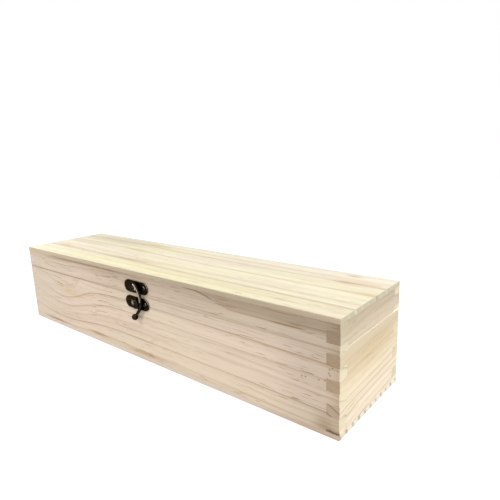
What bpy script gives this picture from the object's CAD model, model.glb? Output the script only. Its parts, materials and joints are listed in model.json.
import json
import math

import bmesh
import bpy
from mathutils import Matrix, Vector

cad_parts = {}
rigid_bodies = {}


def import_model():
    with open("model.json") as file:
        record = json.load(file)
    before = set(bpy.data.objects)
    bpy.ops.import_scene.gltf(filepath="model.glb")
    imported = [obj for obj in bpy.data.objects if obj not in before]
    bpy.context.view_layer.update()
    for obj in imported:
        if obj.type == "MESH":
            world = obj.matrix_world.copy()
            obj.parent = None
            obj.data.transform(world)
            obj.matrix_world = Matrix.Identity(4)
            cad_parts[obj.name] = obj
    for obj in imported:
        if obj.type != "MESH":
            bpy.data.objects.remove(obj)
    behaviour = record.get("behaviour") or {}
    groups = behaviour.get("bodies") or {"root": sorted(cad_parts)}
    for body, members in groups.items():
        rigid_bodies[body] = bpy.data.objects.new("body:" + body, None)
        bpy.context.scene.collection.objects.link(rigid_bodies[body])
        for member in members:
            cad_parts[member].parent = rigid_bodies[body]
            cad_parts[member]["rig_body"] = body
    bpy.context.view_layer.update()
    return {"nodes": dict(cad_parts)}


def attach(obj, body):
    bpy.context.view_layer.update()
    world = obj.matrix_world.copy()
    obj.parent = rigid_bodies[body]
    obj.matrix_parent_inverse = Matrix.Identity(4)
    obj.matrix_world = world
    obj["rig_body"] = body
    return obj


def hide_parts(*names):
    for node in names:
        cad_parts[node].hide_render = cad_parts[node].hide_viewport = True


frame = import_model()

MM = 0.001

# How each board lies in the box: level, along the front and the back, or across an end. The turn
# brings its grain to the first axis, its width to the second and its thickness to the third.
LEVEL = (0, 0, 0)
ALONG = (math.radians(-90), 0, 0)
ACROSS = (math.radians(-90), math.radians(-90), 0)


# --- Nodes ---


def linear(hex_colour):
    """An sRGB hex colour as linear RGBA."""
    parts = [int(hex_colour[i:i + 2], 16) / 255 for i in (1, 3, 5)]
    return [c / 12.92 if c <= 0.04045 else ((c + 0.055) / 1.055) ** 2.4 for c in parts] + [1]


def add_node(tree, kind, inputs=None, stops=None, **settings):
    """Adds a node. Inputs are named or counted among the ones in use, and hold a value,
    an output or a node, which stands for its first output in use. Stops are a ramp's colours."""
    node = tree.nodes.new("ShaderNode" + kind)
    for key, value in settings.items():
        setattr(node, key, value)
    if stops:
        ramp = node.color_ramp.elements
        while len(ramp) < len(stops):
            ramp.new(0.5)
        for element, (position, colour) in zip(ramp, sorted(stops)):
            element.position = position
            element.color = colour
    used = [socket for socket in node.inputs if socket.enabled]
    for key, value in (inputs or {}).items():
        socket = used[key] if isinstance(key, int) else next(s for s in used if s.name == key)
        if isinstance(value, bpy.types.Node):
            value = next(s for s in value.outputs if s.enabled)
        if isinstance(value, bpy.types.NodeSocket):
            tree.links.new(value, socket)
        else:
            socket.default_value = value
    return node


def new_material(name):
    """An empty node material and its tree."""
    material = bpy.data.materials.new(name)
    material.use_nodes = True
    material.node_tree.nodes.clear()
    return material, material.node_tree


def grey(value):
    """A ramp colour for a plain number."""
    return (value, value, value, 1)


# --- Wood ---

# Planed and sanded radiata pine, bare of any finish: pale wide early wood, and a thin brown line of
# late wood that ends sharply each year. It grew fast, so the lines lie 6 to 13 mm apart.
LATE_WOOD = [(0.0, grey(0.12)), (0.04, grey(0.0)), (0.66, grey(0.0)), (0.87, grey(0.2)),
             (0.95, grey(0.65)), (0.98, grey(1.0)), (1.0, grey(0.35))]
# Boards sawn flat show the same line as a soft band
FLAT_SAWN = [(0.0, grey(0.45)), (0.12, grey(0.0)), (0.6, grey(0.0)), (0.78, grey(0.5)),
             (0.9, grey(1.0)), (1.0, grey(0.8))]
# How often each pattern repeats along the grain and across it, from lengths in millimetres: the
# wander of the year lines, the yellower and pinker stretches, soft bands, hairlines and where they
# fade, fibres, resin canals and where they crowd, and the pores of end grain
WANDER = (1 / 170, 1 / 60, 1 / 60)
FLUSH = (1 / 150, 1 / 34, 1 / 34)
BAND = (1 / 420, 1 / 9)
HAIRLINE = (1 / 300, 1 / 2.8)
HAIRLINE_FADE = (1 / 70, 1 / 2.6, 1 / 2.6)
FIBRE = (1 / 45, 1 / 1.3, 1 / 1.3)
CANAL = (1 / 14, 1 / 0.75)
CANAL_PATCH = (1 / 60, 1 / 12, 1 / 12)
PORE = (0, 1 / 0.7, 1 / 0.7)
# How fast patterns that follow the years change through the thickness, per millimetre
INTO_BOARD = 0.1
# How far one seed moves the patterns, in millimetres
SEED_SHIFT = (611.0, 37.0, 23.0)
# From which height of its noise each pattern begins to show, and from which it shows in full
BAND_SHOWS = (0.42, 0.75)
HAIRLINE_FADES = (0.4, 0.62)
CANAL_SHOWS = (0.71, 0.77)
CANALS_CROWD = (0.42, 0.55)
# A hairline runs where its noise is this near to the middle
HAIRLINE_HALF = 0.025
# Where a board's three pale colours lie in the noise, and how fibres and pores darken the wood
FLUSH_STOPS = (0.38, 0.5, 0.62)
FIBRE_SHADES = [(0.3, grey(0.84)), (0.5, grey(0.98)), (0.72, grey(1.0))]
PORE_SHADES = [(0.32, grey(0.82)), (0.5, grey(0.97)), (0.75, grey(1.0))]
# How squarely a surface faces a board's edge to be an eased corner or the edge, and its end to be sawn
EASED_TILT = (0.4, 0.65)
EDGE_TILT = (0.8, 0.95)
SAWN_TILT = (0.45, 0.65)
# Late wood takes more polish, and lies this share of the relief below planed early wood, which has
# sprung back a little. The relief is in millimetres.
EARLY_ROUGHNESS = 0.74
LATE_ROUGHNESS = 0.6
LATE_SUNK = -0.6
FIBRE_RELIEF = 0.03
# So long, in millimetres, that a spot reaches right through its board
THROUGH = 4000


def spot(tree, board, u, v, along, over):
    """A soft oval spot on a board's face: 1 in its middle, falling off over its two half widths."""
    offset = add_node(tree, "VectorMath", {0: board, 1: (u, v, 0)}, operation="SUBTRACT")
    share = add_node(tree, "VectorMath", {0: offset, 1: (along, over, THROUGH)}, operation="DIVIDE")
    square = add_node(tree, "VectorMath", {0: share, 1: share}, operation="DOT_PRODUCT")
    return add_node(tree, "Math", {0: math.exp(-1), 1: square}, operation="POWER")


def growth(tree, board, shifted, cut):
    """The years of the tree as one smooth field, in millimetres across the board's face: level
    lines that wander a little, slope through the thickness, and bend round the swells."""
    slow = add_node(tree, "VectorMath", {0: shifted, 1: WANDER}, operation="MULTIPLY")
    wander = add_node(tree, "TexNoise", {"Vector": slow, "Scale": 1.0, "Detail": 2.0, "Roughness": 0.45})
    field = add_node(tree, "VectorMath", {0: board, 1: (cut["slope"], 1, cut["lean"])},
                     operation="DOT_PRODUCT")
    field = add_node(tree, "Math", {0: wander, 1: cut["wander"], 2: field}, operation="MULTIPLY_ADD")
    for *oval, rise in cut["swells"]:
        field = add_node(tree, "Math", {0: spot(tree, board, *oval), 1: rise, 2: field},
                         operation="MULTIPLY_ADD")
    return add_node(tree, "Math", {0: field, 1: -cut["wander"] / 2 - cut["lean"] * cut["face"]},
                    operation="ADD")


def year_lines(tree, field, cut):
    """How dark the late wood is at each place. The years differ in turn, as the table says."""
    years = add_node(tree, "Math", {0: field, 1: 1 / cut["year"], 2: -cut["first"] / cut["year"]},
                     operation="MULTIPLY_ADD")
    line = add_node(tree, "ValToRGB", {0: add_node(tree, "Math", {0: years}, operation="FRACT")},
                    stops=cut["line"])
    last = float(len(cut["dark"]) - 1)
    turn = add_node(tree, "Math", {0: years, 1: last}, operation="PINGPONG")
    turn = add_node(tree, "Math", {0: turn, 1: last}, operation="DIVIDE")
    dark = add_node(tree, "ValToRGB", {0: turn},
                    stops=[(k / last, grey(value)) for k, value in enumerate(cut["dark"])])
    return add_node(tree, "Math", {0: line, 1: dark}, operation="MULTIPLY")


def along_years(tree, axis, field, scale, seed):
    """Coordinates that follow the years: along the grain, across the lines, and into the board."""
    return add_node(tree, "CombineXYZ", {
        0: add_node(tree, "Math", {0: axis.outputs[0], 1: scale[0]}, operation="MULTIPLY"),
        1: add_node(tree, "Math", {0: field, 1: scale[1]}, operation="MULTIPLY"),
        2: add_node(tree, "Math", {0: axis.outputs[2], 1: INTO_BOARD, 2: seed}, operation="MULTIPLY_ADD")})


def hairlines(tree, axis, field, shifted, seed):
    """Thin crisp lines between the years, which fade in and out along the board."""
    noise = add_node(tree, "TexNoise", {"Vector": along_years(tree, axis, field, HAIRLINE, seed),
                                        "Scale": 1.0, "Detail": 2.0, "Roughness": 0.6})
    away = add_node(tree, "Math", {0: noise, 1: 0.5}, operation="SUBTRACT")
    away = add_node(tree, "Math", {0: away}, operation="ABSOLUTE")
    line = add_node(tree, "MapRange", {"Value": away, "From Max": HAIRLINE_HALF, "To Min": 1.0,
                                       "To Max": 0.0})
    fading = add_node(tree, "VectorMath", {0: shifted, 1: HAIRLINE_FADE}, operation="MULTIPLY")
    fade = add_node(tree, "TexNoise", {"Vector": fading, "Scale": 1.0, "Detail": 1.0})
    fade = add_node(tree, "MapRange", {"Value": fade, "From Min": HAIRLINE_FADES[0],
                                       "From Max": HAIRLINE_FADES[1]})
    return add_node(tree, "Math", {0: line, 1: fade}, operation="MULTIPLY")


def resin_canals(tree, axis, field, shifted, seed):
    """Short dark dashes along the grain, crowded in some patches and missing in others."""
    noise = add_node(tree, "TexNoise", {"Vector": along_years(tree, axis, field, CANAL, seed),
                                        "Scale": 1.0, "Detail": 0.0})
    dash = add_node(tree, "MapRange", {"Value": noise, "From Min": CANAL_SHOWS[0],
                                       "From Max": CANAL_SHOWS[1]})
    patches = add_node(tree, "VectorMath", {0: shifted, 1: CANAL_PATCH}, operation="MULTIPLY")
    patch = add_node(tree, "TexNoise", {"Vector": patches, "Scale": 1.0, "Detail": 1.0})
    patch = add_node(tree, "MapRange", {"Value": patch, "From Min": CANALS_CROWD[0],
                                        "From Max": CANALS_CROWD[1]})
    return add_node(tree, "Math", {0: dash, 1: patch}, operation="MULTIPLY")


def end_grain(tree, board, late, eased, cut):
    """Sawn end grain: greyer, with the late wood as darker strokes, open pores and eased corners."""
    colour = add_node(tree, "Mix", {"Factor": late, "A": linear(cut["end"]),
                                    "B": linear(cut["end_line"])}, data_type="RGBA")
    fine = add_node(tree, "VectorMath", {0: board, 1: PORE}, operation="MULTIPLY")
    pores = add_node(tree, "TexNoise", {"Vector": fine, "Scale": 1.0, "Detail": 2.0})
    pores = add_node(tree, "ValToRGB", {0: pores}, stops=PORE_SHADES)
    colour = add_node(tree, "Mix", {"Factor": 1.0, "A": colour, "B": pores},
                      data_type="RGBA", blend_type="MULTIPLY")
    return add_node(tree, "Mix", {"Factor": eased, "A": colour, "B": linear(cut["end_eased"])},
                    data_type="RGBA")


def facing(tree, normal, turn, axis, tilt):
    """How squarely the surface faces along one axis of the board, from 0 to 1 over the tilt."""
    turned = add_node(tree, "Mapping", {"Vector": normal, "Rotation": turn}, vector_type="VECTOR")
    part = add_node(tree, "SeparateXYZ", {0: turned}).outputs[axis]
    part = add_node(tree, "Math", {0: part}, operation="ABSOLUTE")
    return add_node(tree, "MapRange", {"Value": part, "From Min": tilt[0], "From Max": tilt[1]})


def pine(name, cut, marks=None):
    """A board's wood, cut as the table below says. Marks may add its own dark features."""
    material, tree = new_material(name)
    place = add_node(tree, "TexCoord")
    board = add_node(tree, "Mapping", {"Vector": place.outputs["Object"], "Rotation": cut["turn"],
                                       "Scale": (1 / MM, 1 / MM, 1 / MM)})
    axis = add_node(tree, "SeparateXYZ", {0: board})
    seed = cut["seed"]
    shifted = add_node(tree, "VectorMath", {0: board, 1: [seed * shift for shift in SEED_SHIFT]},
                       operation="ADD")
    field = growth(tree, board, shifted, cut)
    band = add_node(tree, "TexNoise", {"Vector": along_years(tree, axis, field, BAND, seed),
                                       "Scale": 1.0, "Detail": 2.0})
    straight = add_node(tree, "VectorMath", {0: shifted, 1: FIBRE}, operation="MULTIPLY")
    fibre = add_node(tree, "TexNoise", {"Vector": straight, "Scale": 1.0, "Detail": 5.0,
                                        "Roughness": 0.75})

    # How dark each place is, from 0 in early wood to 1 in late wood and resin
    soft = add_node(tree, "MapRange", {"Value": band, "From Min": BAND_SHOWS[0],
                                       "From Max": BAND_SHOWS[1], "To Max": cut["bands"]})
    late = year_lines(tree, field, cut)
    depth = add_node(tree, "Math", {0: late, 1: cut["lines"], 2: soft}, operation="MULTIPLY_ADD")
    hair = hairlines(tree, axis, field, shifted, seed)
    depth = add_node(tree, "Math", {0: hair, 1: cut["hair"], 2: depth}, operation="MULTIPLY_ADD")
    canals = resin_canals(tree, axis, field, shifted, seed)
    depth = add_node(tree, "Math", {0: canals, 1: cut["canals"], 2: depth}, operation="MULTIPLY_ADD")
    if marks:
        depth = marks(tree, board, axis, depth)
    depth = add_node(tree, "Math", {0: depth}, operation="ADD", use_clamp=True)

    # Yellower and pinker stretches of early wood, with the fibres as fine straight streaks
    slow = add_node(tree, "VectorMath", {0: shifted, 1: FLUSH}, operation="MULTIPLY")
    flush = add_node(tree, "TexNoise", {"Vector": slow, "Scale": 1.0, "Detail": 2.0})
    pale = add_node(tree, "ValToRGB", {0: flush},
                    stops=[(stop, linear(tone)) for stop, tone in zip(FLUSH_STOPS, cut["pale"])])
    face = add_node(tree, "Mix", {"Factor": depth, "A": pale, "B": linear(cut["brown"])},
                    data_type="RGBA")
    fibres = add_node(tree, "ValToRGB", {0: fibre}, stops=FIBRE_SHADES)
    face = add_node(tree, "Mix", {"Factor": 1.0, "A": face, "B": fibres},
                    data_type="RGBA", blend_type="MULTIPLY")

    # The eased corners, the long edges, and then the sawn ends
    normal = place.outputs["Normal"]
    eased = facing(tree, normal, cut["turn"], 1, EASED_TILT)
    face = add_node(tree, "Mix", {"Factor": eased, "A": face, "B": linear(cut["eased"])},
                    data_type="RGBA")
    cut_edge = add_node(tree, "Mix", {"Factor": 1.0, "A": linear(cut["edge"]), "B": fibres},
                        data_type="RGBA", blend_type="MULTIPLY")
    edge = facing(tree, normal, cut["turn"], 1, EDGE_TILT)
    face = add_node(tree, "Mix", {"Factor": edge, "A": face, "B": cut_edge}, data_type="RGBA")
    butt = facing(tree, normal, cut["turn"], 0, SAWN_TILT)
    sawn = end_grain(tree, board, late, eased, cut)
    colour = add_node(tree, "Mix", {"Factor": butt, "A": face, "B": sawn}, data_type="RGBA")
    for *oval, tint in cut["stains"]:
        colour = add_node(tree, "Mix", {"Factor": spot(tree, board, *oval), "A": colour,
                                        "B": linear(tint)}, data_type="RGBA", blend_type="MULTIPLY")

    roughness = add_node(tree, "MapRange", {"Value": depth, "To Min": EARLY_ROUGHNESS,
                                            "To Max": LATE_ROUGHNESS})
    relief = add_node(tree, "Math", {0: depth, 1: LATE_SUNK, 2: fibre}, operation="MULTIPLY_ADD")
    bump = add_node(tree, "Bump", {"Height": relief, "Strength": 0.6, "Distance": FIBRE_RELIEF * MM})
    shader = add_node(tree, "BsdfPrincipled", {"Base Color": colour, "Roughness": roughness,
                                               "IOR": 1.5, "Normal": bump})
    add_node(tree, "OutputMaterial", {"Surface": shader})
    return material


# The front board's own marks, in millimetres from the middle of the box and up from its underside:
# a streak of heartwood, clearer wood with fainter lines at the left end and right of the middle, and
# a few pin holes. The streak's lower edge sinks between two places, from one height to another.
HEART_SINKS = (78, 130)
HEART_HEIGHTS = (90.6, 80.3)
# How dark the heartwood is, and over which height it comes in
HEART_DARK = 0.18
HEART_SOFT = 1.6
# Its edge is a dark line, full up to the core's half width and gone at the fade's, that comes and
# goes between two places along the board
RIM_CORE = 0.2
RIM_FADE = 1.0
RIM_SPAN = (66, 200)
RIM_DARK = [(0.0, grey(0.0)), (0.075, grey(0.9)), (0.24, grey(0.85)), (0.29, grey(0.15)),
            (0.73, grey(0.3)), (0.86, grey(0.9)), (0.93, grey(0.6)), (1.0, grey(0.1))]
# Ovals by their middle and half widths, and the change in the darkness there
CLEAR_WOOD = [(-214, 46, 42, 46, -0.85), (70, 32, 80, 22, -0.55)]
# The places of the pin holes, and their half widths and tint
PIN_HOLES = [(220, 56.5), (217.7, 55), (217.3, 52), (218.2, 50.4), (214, 45.4), (209, 44.4),
             (197.5, 43.4), (194.4, 43.1)]
PIN_HOLE = (0.55, 0.55, "#77685A")


def front_marks(tree, board, axis, depth):
    """The heartwood streak with its dark edge, and the clearer wood."""
    edge = add_node(tree, "MapRange", {"Value": axis.outputs[0], "From Min": HEART_SINKS[0],
                                       "From Max": HEART_SINKS[1], "To Min": HEART_HEIGHTS[0],
                                       "To Max": HEART_HEIGHTS[1]}, interpolation_type="SMOOTHSTEP")
    above = add_node(tree, "Math", {0: axis.outputs[1], 1: edge}, operation="SUBTRACT")
    heart = add_node(tree, "MapRange", {"Value": above, "From Max": HEART_SOFT, "To Max": HEART_DARK})
    away = add_node(tree, "Math", {0: above}, operation="ABSOLUTE")
    rim = add_node(tree, "MapRange", {"Value": away, "From Min": RIM_CORE, "From Max": RIM_FADE,
                                      "To Min": 1.0, "To Max": 0.0})
    length = add_node(tree, "MapRange", {"Value": axis.outputs[0], "From Min": RIM_SPAN[0],
                                         "From Max": RIM_SPAN[1]})
    weight = add_node(tree, "ValToRGB", {0: length}, stops=RIM_DARK)
    for *oval, change in CLEAR_WOOD:
        clear = add_node(tree, "Math", {0: spot(tree, board, *oval), 1: change, 2: 1.0},
                         operation="MULTIPLY_ADD")
        depth = add_node(tree, "Math", {0: depth, 1: clear}, operation="MULTIPLY")
    depth = add_node(tree, "Math", {0: rim, 1: weight, 2: depth}, operation="MULTIPLY_ADD")
    return add_node(tree, "Math", {0: depth, 1: heart}, operation="ADD")


# How each board is cut, in millimetres. "face" is where its outer face lies. On it, "first" is the
# place of one year's line and "year" the distance of the lines, "slope" and "lean" say how they run
# along and through the board, "wander" how far they stray, and "dark" how strong they are in turn.
# "lines", "bands", "hair" and "canals" say how dark each pattern is. "pale" is early wood in three
# shades, "brown" late wood, "edge" a long edge and "eased" its corners, and "end", "end_line" and
# "end_eased" are sawn early and late wood and their corners. "swells" and "stains" are ovals, by their
# middle and half widths: where the years bulge and by how much, and where a tint darkens the wood.
FRONT_CUT = {
    "turn": ALONG, "face": 54, "seed": 1.0, "year": 12.6, "first": 11.0, "slope": 0.012,
    "lean": -0.36, "wander": 3.0, "line": LATE_WOOD,
    "dark": [0.4, 1.0, 0.35, 0.6, 0.8, 0.4, 0.3],
    "swells": [(-152, 44, 62, 34, 21), (-97, 68, 15, 9, -5), (-129, 60, 13, 7, 4)],
    "lines": 0.5, "bands": 0.1, "hair": 0.26, "canals": 0.5,
    "pale": ("#F7EBD7", "#F5E8D7", "#F6E6D8"), "brown": "#9C8160", "edge": "#F2E8D8", "eased": "#C6B8A2",
    "end": "#F5EDD4", "end_line": "#A89B85", "end_eased": "#FFF8E6",
    "stains": [(110, 104, 210, 34, "#BAB6B0"), (230, 45, 14, THROUGH, "#DDD8CC"),
               (-85, 89.6, 90, 1.5, "#C4B39E"), (-172, 6.5, 26, 1.2, "#BCA890"),
               (5, 8, 26, 2, "#DECDB4"), (-140, 70.3, 110, 0.9, "#D6CDBF"),
               (-80, 9.5, 18, 1.6, "#CDBDA4"), (-130, 50, 24, 5, "#F4F0DC"),
               (214, 9, 9, 9, "#D8CFC6"), (226, 87, 2.5, 4, "#F0EBE9"),
               (200, 40, 26, 60, "#E8E8E8"), (-226, 55, 60, 45, "#EEEEEE"),
               (-150, 88, 45, 2.6, "#DEDAD6"), (-48, 86, 46, 5, "#EEEBE7")]
              + [(*hole, *PIN_HOLE) for hole in PIN_HOLES],
}
BACK_CUT = dict(FRONT_CUT, face=-54, seed=2.0, year=11.0, first=4.0, swells=[(120, 30, 70, 30, 14)],
                dark=[0.6, 0.3, 0.9, 0.45, 0.7, 0.3, 0.8], end="#C6BA9F", stains=[])
RIGHT_CUT = {
    "turn": ACROSS, "face": 226, "seed": 3.0, "year": 6.4, "first": 7.0, "slope": -0.045,
    "lean": 0.45, "wander": 2.0, "line": LATE_WOOD,
    "dark": [0.8, 0.7, 0.9, 1.0, 0.8, 0.3, 0.25, 0.5, 0.15, 0.1, 0.1, 0.15, 0.1, 0.1],
    "swells": [(-66, -4, 30, 18, 12.4)],
    "lines": 0.5, "bands": 0.12, "hair": 0.28, "canals": 0.25,
    "pale": ("#FFFDF3", "#FFFBF1", "#FEF9EE"), "brown": "#B0966F", "edge": "#F4E9D4", "eased": "#FFFAEA",
    "end": "#A6927D", "end_line": "#453B31", "end_eased": "#A6927D",
    "stains": [(0, 106, THROUGH, 39, "#B5AD9D"), (10, 54, 70, 14, "#EEE7DC"),
               (0, 50, THROUGH, 28, "#F6F3E5"), (-54, 5, 1.2, 4, "#E2DED8"), (-54, 5.6, 1, 0.6, "#857868")],
}
LEFT_CUT = dict(RIGHT_CUT, face=-226, lean=-0.45, seed=4.0, year=7.5, swells=[(30, 50, 34, 26, 10)],
                dark=[0.5, 0.8, 0.4, 0.9, 0.5, 0.7], end="#C6B8A8", end_line="#A39480", stains=[])
TOP_CUT = {
    "turn": LEVEL, "face": 95, "seed": 5.0, "year": 11.2, "first": -28.0, "slope": 0.012,
    "lean": 0.5, "wander": 3.0, "line": FLAT_SAWN,
    "dark": [0.9, 0.3, 0.1, 0.8, 0.1, 0.62, 0.12, 0.0],
    "swells": [(-160, 20, 110, 50, -8)],
    "lines": 0.37, "bands": 0.14, "hair": 0.19, "canals": 0.3,
    "pale": ("#FFFFE2", "#FEFEE8", "#FDF6E7"), "brown": "#B4A080", "edge": "#BBAA90",
    "eased": "#ACA28A", "end": "#ADA58E", "end_line": "#C2BFB4", "end_eased": "#B2AA92",
    "stains": [(-160, 34, 90, 18, "#E4E2DE"), (188, 24, 10, 3.5, "#E9DACC"), (188, 45, 7, 2.5, "#DCCDBD"),
               (-50, -24, 44, 3.2, "#E0D3C2"), (-172, 5.5, 45, 5.5, "#EBE8E2"), (-80, 11, 26, 5, "#F0EBD2"),
               (-75, 38, 24, 4, "#EEE8D2"), (-195, -20, 24, 4, "#F8E6DA"), (205, 26, 22, 5, "#F6E8DE"),
               (222, 5, 16, 3, "#F0E0CE"), (-60, -44, 260, 7, "#FFFFF1"),
               (0, -30, THROUGH, 50, "#FEFDF9"), (120, -54.5, 230, 0.9, "#D1D0D1")],
}
BOTTOM_CUT = dict(TOP_CUT, face=0, seed=6.0, year=10.5, first=4.0, lean=0.3, dark=[1.0, 0.7],
                  lines=0.2, bands=0.06, pale=("#EFE3D0", "#EDE0D2", "#EEDCD0"), edge="#C6B9AC",
                  eased="#CABFB4", end="#D9D2C0", end_line="#8F8A82",
                  stains=[(210, -60, 50, 12, "#D8C8BA")])


# --- Metal ---

# Zinc castings and bent wire, plated, dipped nearly black, rubbed back and lacquered: brown-black
# in the hollows, olive brown where it is thin, and brass only where fingers and cloth have rubbed
# Widths and relief in millimetres
CAST_GRAIN = 0.5
CAST_RELIEF = 0.03
BLOTCH = 1.2
# How raggedly the patina ends, and from which wear it thins and is gone
RAGGED = 0.6
WORN_THROUGH = (0.35, 0.85)
# Where the patina's three colours lie in the blotches, and the roughness of the darkest and palest
PATINA_STOPS = (0.36, 0.5, 0.66)
GLOSSY = 0.2
SATIN = 0.38


def bronze(name, patina, brass, rub):
    """Antique bronze. It reads how worn each point of a piece is from the attribute "worn"."""
    material, tree = new_material(name)
    place = add_node(tree, "TexCoord")
    blotch = add_node(tree, "TexNoise", {"Vector": place.outputs["Object"], "Scale": 1 / (BLOTCH * MM),
                                         "Detail": 4.0, "Roughness": 0.6})
    worn = add_node(tree, "Attribute", attribute_name="worn")
    ragged = add_node(tree, "Math", {0: blotch, 1: RAGGED, 2: -RAGGED / 2}, operation="MULTIPLY_ADD")
    wear = add_node(tree, "Math", {0: worn.outputs["Fac"], 1: rub, 2: ragged}, operation="MULTIPLY_ADD")
    bare = add_node(tree, "MapRange", {"Value": wear, "From Min": WORN_THROUGH[0],
                                       "From Max": WORN_THROUGH[1]})
    dipped = add_node(tree, "ValToRGB", {0: blotch},
                      stops=[(stop, linear(tone)) for stop, tone in zip(PATINA_STOPS, patina)])
    colour = add_node(tree, "Mix", {"Factor": bare, "A": dipped, "B": linear(brass)}, data_type="RGBA")
    rough = add_node(tree, "MapRange", {"Value": blotch, "From Min": 0.3, "From Max": 0.7,
                                        "To Min": GLOSSY, "To Max": SATIN})
    grain = add_node(tree, "TexNoise", {"Vector": place.outputs["Object"],
                                        "Scale": 1 / (CAST_GRAIN * MM), "Detail": 2.0})
    bump = add_node(tree, "Bump", {"Height": grain, "Strength": 0.5, "Distance": CAST_RELIEF * MM})
    shader = add_node(tree, "BsdfPrincipled", {"Base Color": colour, "Roughness": rough,
                                               "Metallic": 1.0, "Normal": bump,
                                               "Specular Tint": linear("#8C857A"), "Coat Weight": 0.08,
                                               "Coat Roughness": 0.15, "Coat IOR": 1.4})
    add_node(tree, "OutputMaterial", {"Surface": shader})
    return material


# --- Pieces ---

# Points this near each other are one, in millimetres, and faces that turn less are one face
SAME_POINT = 0.002
SAME_FACE = math.radians(1)
# Edges that turn less than this are smooth
SMOOTH = math.radians(35)
# A surface that turns this far from face to face is round
ROUND = math.radians(5)
# A face this large is a flat, in square millimetres: on the pieces, and on the domed heads of screws
FLAT = 5
HEAD = 20


def none_selected():
    """Leaves nothing selected and no object active."""
    bpy.ops.object.select_all(action="DESELECT")
    bpy.context.view_layer.objects.active = None


def merged_copy(name, node):
    """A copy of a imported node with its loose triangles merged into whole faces, selected and active."""
    none_selected()
    source = frame["nodes"][node]
    piece = bpy.data.objects.new(name, source.data.copy())
    bpy.context.scene.collection.objects.link(piece)
    piece.select_set(True)
    bpy.context.view_layer.objects.active = piece
    bpy.ops.mesh.customdata_custom_splitnormals_clear()
    bpy.ops.object.mode_set(mode="EDIT")
    bpy.ops.mesh.select_all(action="SELECT")
    bpy.ops.mesh.remove_doubles(threshold=SAME_POINT * MM)
    bpy.ops.mesh.dissolve_limited(angle_limit=SAME_FACE)
    bpy.ops.object.mode_set(mode="OBJECT")
    return piece


def bevelled(piece, width, segments, angle):
    """Rounds the piece's edges that turn more than the angle."""
    bevel = piece.modifiers.new("eased", "BEVEL")
    bevel.width = width * MM
    bevel.segments = segments
    bevel.limit_method = "ANGLE"
    bevel.angle_limit = angle
    bpy.ops.object.modifier_apply(modifier=bevel.name)
    bpy.ops.object.shade_smooth_by_angle(angle=SMOOTH)


def mark_worn(piece, largest, side, start, end, reach):
    """Writes how much each point is rubbed: most where the surface is round, turned to the side that
    fingers rub, and near the stroke that they make. Flats above the largest size keep their finish."""
    shape = bmesh.new()
    shape.from_mesh(piece.data)
    worn = []
    start = Vector(start)
    stroke = Vector(end) - start
    for vertex in shape.verts:
        turns = [e.calc_face_angle_signed(0) for e in vertex.link_edges if e.is_manifold]
        roundness = min(1, max(0, max(turns, default=0) / ROUND))
        flat = max(face.calc_area() for face in vertex.link_faces) > largest * MM * MM
        turned = max(0, vertex.normal.dot(Vector(side).normalized()))
        offset = vertex.co / MM - start
        share = min(1, max(0, offset.dot(stroke) / stroke.length_squared))
        near = math.exp(-((offset - share * stroke).length / reach) ** 2)
        worn.append(0 if flat else roundness * turned ** 3 * near)
    shape.free()
    attribute = piece.data.attributes.new("worn", "FLOAT", "POINT")
    attribute.data.foreach_set("value", worn)


def dress(piece, node, material):
    """Gives the piece its finish and its place on the body of the node that it stands for."""
    piece.data.materials.clear()
    piece.data.materials.append(material)
    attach(piece, frame["nodes"][node]["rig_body"])
    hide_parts(node)


# --- Boards ---

# How far sandpaper has eased the boards' edges: width in millimetres, steps, and from which angle
SANDED = (0.18, 2, math.radians(30))
# The lid was sawn off the glued-up box, so its walls are cut from the same boards as the base's
BOARDS = {
    "planed pine, front": (FRONT_CUT, front_marks, ["base_front_panel", "lid_front_rail"]),
    "planed pine, back": (BACK_CUT, None, ["base_back_panel", "lid_back_rail"]),
    "planed pine, right end": (RIGHT_CUT, None, ["base_right_end", "lid_right_end"]),
    "planed pine, left end": (LEFT_CUT, None, ["base_left_end", "lid_left_end"]),
    "planed pine, top": (TOP_CUT, None, ["lid_top_panel"]),
    "planed pine, bottom": (BOTTOM_CUT, None, ["base_bottom_panel"]),
}
for name, (cut, marks, nodes) in BOARDS.items():
    wood = pine(name, cut, marks)
    for node in nodes:
        board = merged_copy(node + "_board", node)
        bevelled(board, *SANDED)
        dress(board, node, wood)


# --- Latch and hinges ---

# Recess of a cross-head screw, in millimetres, and how much of its span is left at the bottom
CROSS_SPAN = 2.7
CROSS_DEPTH = 0.9
CROSS_TAPER = 0.55
# How far each screw happened to be turned when it was tight, in degrees
SCREW_TURNS = [12, 57, 31, 74]


def screw_heads(node):
    """The middle of the head of each screw in the node, and which way the screws face along Y."""
    merged_copy("loose_screws", node)
    bpy.ops.mesh.separate(type="LOOSE")
    heads = []
    for screw in bpy.context.selected_objects:
        corners = [vertex.co for vertex in screw.data.vertices]
        low = Vector(min(c[k] for c in corners) for k in range(3))
        high = Vector(max(c[k] for c in corners) for k in range(3))
        outward = 1 if low.y + high.y > 0 else -1
        middle = (low + high) / 2
        heads.append(Vector((middle.x, high.y if outward > 0 else low.y, middle.z)))
    bpy.ops.object.delete()
    return sorted(heads, key=lambda head: (round(head.z, 4), head.x)), outward


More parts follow.
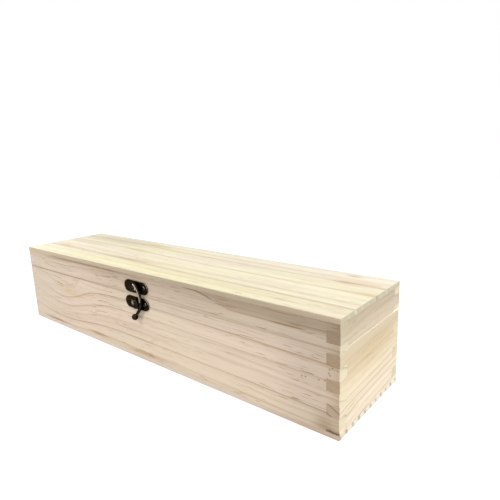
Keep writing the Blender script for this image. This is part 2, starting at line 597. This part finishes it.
def cut_cross(piece, head, outward, turn):
    """Cuts a tapered cross recess into the head of one screw."""
    none_selected()
    bpy.ops.mesh.primitive_grid_add(x_subdivisions=3, y_subdivisions=3, size=CROSS_SPAN * MM)
    cutter = bpy.context.object
    bpy.ops.object.mode_set(mode="EDIT")
    bpy.ops.mesh.select_mode(type="FACE")
    bpy.ops.mesh.select_all(action="DESELECT")
    shape = bmesh.from_edit_mesh(cutter.data)
    half_arm = CROSS_SPAN * MM / 6
    for face in shape.faces:
        middle = face.calc_center_median()
        face.select = abs(middle.x) > half_arm and abs(middle.y) > half_arm
    bmesh.update_edit_mesh(cutter.data)
    bpy.ops.mesh.delete(type="FACE")
    bpy.ops.mesh.select_all(action="SELECT")
    bpy.ops.transform.translate(value=(0, 0, CROSS_DEPTH * MM))
    bpy.ops.mesh.extrude_region_move(TRANSFORM_OT_translate={"value": (0, 0, -2 * CROSS_DEPTH * MM)})
    bpy.ops.transform.resize(value=(CROSS_TAPER, CROSS_TAPER, 1))
    bpy.ops.mesh.select_all(action="SELECT")
    bpy.ops.mesh.normals_make_consistent(inside=False)
    bpy.ops.object.mode_set(mode="OBJECT")
    cutter.rotation_euler = (-outward * math.pi / 2, math.radians(turn), 0)
    cutter.location = head
    bpy.ops.object.transform_apply()
    recess = piece.modifiers.new("recess", "BOOLEAN")
    recess.object = cutter
    recess.solver = "EXACT"
    bpy.context.view_layer.objects.active = piece
    bpy.ops.object.modifier_apply(modifier=recess.name)
    bpy.data.objects.remove(cutter)


# For each slot the name of its finish, the patina, the brass under it, how easily it rubs through,
# and its pieces
BRONZES = {
    "latch_bronze": ("lacquered antique bronze, latch", ("#0D0A07", "#1D160F", "#4C3E28"), "#ADA896", 1.4,
                     ["latch_catch_plate", "latch_catch_post", "catch_plate_screws", "latch_hook_plate",
                      "latch_rivet", "hook_plate_screws", "latch_hook"]),
    "bronze": ("lacquered antique bronze, hinges", ("#17110C", "#261D14", "#382C1E"), "#A8946A", 0.8,
               ["left_hinge_base_leaf", "right_hinge_base_leaf", "left_hinge_lid_leaf",
                "right_hinge_lid_leaf", "left_hinge_pin", "right_hinge_pin", "hinge_base_screws",
                "hinge_lid_screws"]),
}
# How far the edges are rounded, in millimetres: castings more than stamped leaves, pins and wire
ROUNDING = {"latch_catch_plate": 0.4, "latch_hook_plate": 0.4, "latch_catch_post": 0.35,
            "latch_rivet": 0.25, "catch_plate_screws": 0.3, "hook_plate_screws": 0.3}
SLIGHT_ROUNDING = 0.12
# In how many steps, and from which angle
METAL_STEPS = 3
METAL_EDGE = math.radians(50)
# Where fingers rub: on which side, from where to where, and how far round that, in millimetres
RUBBED = {
    "latch_hook": ((-0.3, -1, 0.1), (1, -59, 84.5), (9, -59, 67), 2.4),
    "latch_catch_post": ((-0.6, -1, 0.5), (-8, -60, 66), (-1, -60, 62.5), 2.8),
    "latch_rivet": ((-0.5, -1, 0.5), (-4, -60, 82), (-3, -60, 82), 2),
}
ON_LATCH = ((0.6, -0.6, 0.6), (12, -56, 80), (12, -56, 62), 12)
ON_HINGES = ((0.1, 0.8, 0.6), (-160, 56, 70), (160, 56, 70), 40)
for slot, (finish, patina, brass, rub, nodes) in BRONZES.items():
    metal = bronze(finish, patina, brass, rub)
    for node in nodes:
        screws = node.endswith("screws")
        heads, outward = screw_heads(node) if screws else ([], 0)
        part = merged_copy(node + "_metal", node)
        bevelled(part, ROUNDING.get(node, SLIGHT_ROUNDING), METAL_STEPS, METAL_EDGE)
        for head, turn in zip(heads, SCREW_TURNS):
            cut_cross(part, head, outward, turn)
        mark_worn(part, HEAD if screws else FLAT,
                  *RUBBED.get(node, ON_HINGES if "hinge" in node else ON_LATCH))
        dress(part, node, metal)


# --- Studio ---


def soft_lamp(name, place, aim, size, power):
    """A white softbox that the camera doesn't see, in metres and watts."""
    lamp = bpy.data.lights.new(name, "AREA")
    lamp.shape = "RECTANGLE"
    lamp.size, lamp.size_y = size
    lamp.energy = power
    holder = bpy.data.objects.new(name, lamp)
    bpy.context.scene.collection.objects.link(holder)
    holder.location = place
    holder.rotation_euler = (Vector(aim) - Vector(place)).to_track_quat("-Z", "Y").to_euler()
    holder.visible_camera = False


def seen_white(tree, plain, white):
    """Joins a plain shader with one that only the camera, glass and gloss see."""
    path = add_node(tree, "LightPath")
    seen = add_node(tree, "Math", {0: path.outputs["Is Camera Ray"], 1: path.outputs["Is Glossy Ray"]},
                    operation="MAXIMUM")
    seen = add_node(tree, "Math", {0: seen, 1: path.outputs["Is Transmission Ray"]}, operation="MAXIMUM")
    return add_node(tree, "MixShader", {0: seen, 1: plain, 2: white})


# How deep the shadow on the white table is, how much light the open table gets, and how wide it is
SHADOW_DEPTH = 0.22
TABLE_LIGHT = 0.35
TABLE_SIZE = 6


def white_floor():
    """A matt white table that melts into the backdrop, with a faint shadow under the box."""
    none_selected()
    bpy.ops.mesh.primitive_plane_add(size=TABLE_SIZE, location=(0, 0, 0))
    floor = bpy.context.object
    floor.name = "floor"
    material, tree = new_material("matt white table")
    matt = add_node(tree, "BsdfDiffuse", {"Color": linear("#F4F2EE")})
    faint = add_node(tree, "BsdfDiffuse", {"Color": grey(SHADOW_DEPTH)})
    glow = add_node(tree, "Emission", {"Strength": 1.0 - TABLE_LIGHT * SHADOW_DEPTH})
    shader = seen_white(tree, matt, add_node(tree, "AddShader", {0: faint, 1: glow}))
    add_node(tree, "OutputMaterial", {"Surface": shader})
    floor.data.materials.append(material)


def white_world():
    """White behind the box, and a dim even light from all round."""
    world = bpy.data.worlds.new("studio")
    bpy.context.scene.world = world
    world.use_nodes = True
    tree = world.node_tree
    tree.nodes.clear()
    dim = add_node(tree, "Background", {"Color": linear("#F7F8FF"), "Strength": 0.42})
    white = add_node(tree, "Background", {"Color": (1, 1, 1, 1), "Strength": 1.0})
    add_node(tree, "OutputWorld", {"Surface": seen_white(tree, dim, white)})


# The camera stands half a metre off, to the right of the front and a little above the lid
CAMERA_PLACE = (0.36085, -0.31303, 0.21032)
CAMERA_LENS = 32.16
CAMERA_NEAREST = 0.01
# In degrees: how far it looks to the left of straight ahead, how far down, and how far it tips
LOOKS_LEFT = 39.39
LOOKS_DOWN = 12.77
TIPS = -1.93


def camera():
    """The camera that the scene is seen through."""
    lens = bpy.data.cameras.new("camera")
    lens.lens = CAMERA_LENS
    lens.sensor_width = 36
    lens.clip_start = CAMERA_NEAREST
    holder = bpy.data.objects.new("camera", lens)
    bpy.context.scene.collection.objects.link(holder)
    holder.location = CAMERA_PLACE
    turn = Matrix.Rotation(math.radians(LOOKS_LEFT), 3, "Z")
    turn = turn @ Matrix.Rotation(math.radians(90 - LOOKS_DOWN), 3, "X")
    holder.rotation_euler = (turn @ Matrix.Rotation(math.radians(TIPS), 3, "Z")).to_euler()
    bpy.context.scene.camera = holder


white_floor()
white_world()
soft_lamp("key softbox", (-0.7, -1.54, 1.82), (0, 0, 0.05), (0.35, 0.35), 15)
soft_lamp("left key softbox", (-2.2, -2.3, 0.7), (0, 0, 0.05), (0.35, 0.35), 17)
soft_lamp("overhead softbox", (0.1, -0.1, 1.3), (0, 0, 0), (1.1, 1.1), 9.1)
soft_lamp("front softbox", (0.5, -1.1, 0.3), (0.05, -0.05, 0.03), (1.2, 0.4), 3.0)
soft_lamp("right softbox", (1.2, 0.15, 0.35), (0.2, 0, 0.03), (0.7, 0.5), 7.2)
soft_lamp("back softbox", (0.2, 1.2, 0.4), (0, 0.05, 0.03), (1.2, 0.4), 4)
soft_lamp("left softbox", (-1.2, 0.1, 0.4), (-0.2, 0, 0.03), (0.7, 0.5), 4)
camera()

bpy.context.scene.view_settings.view_transform = "Standard"

none_selected()
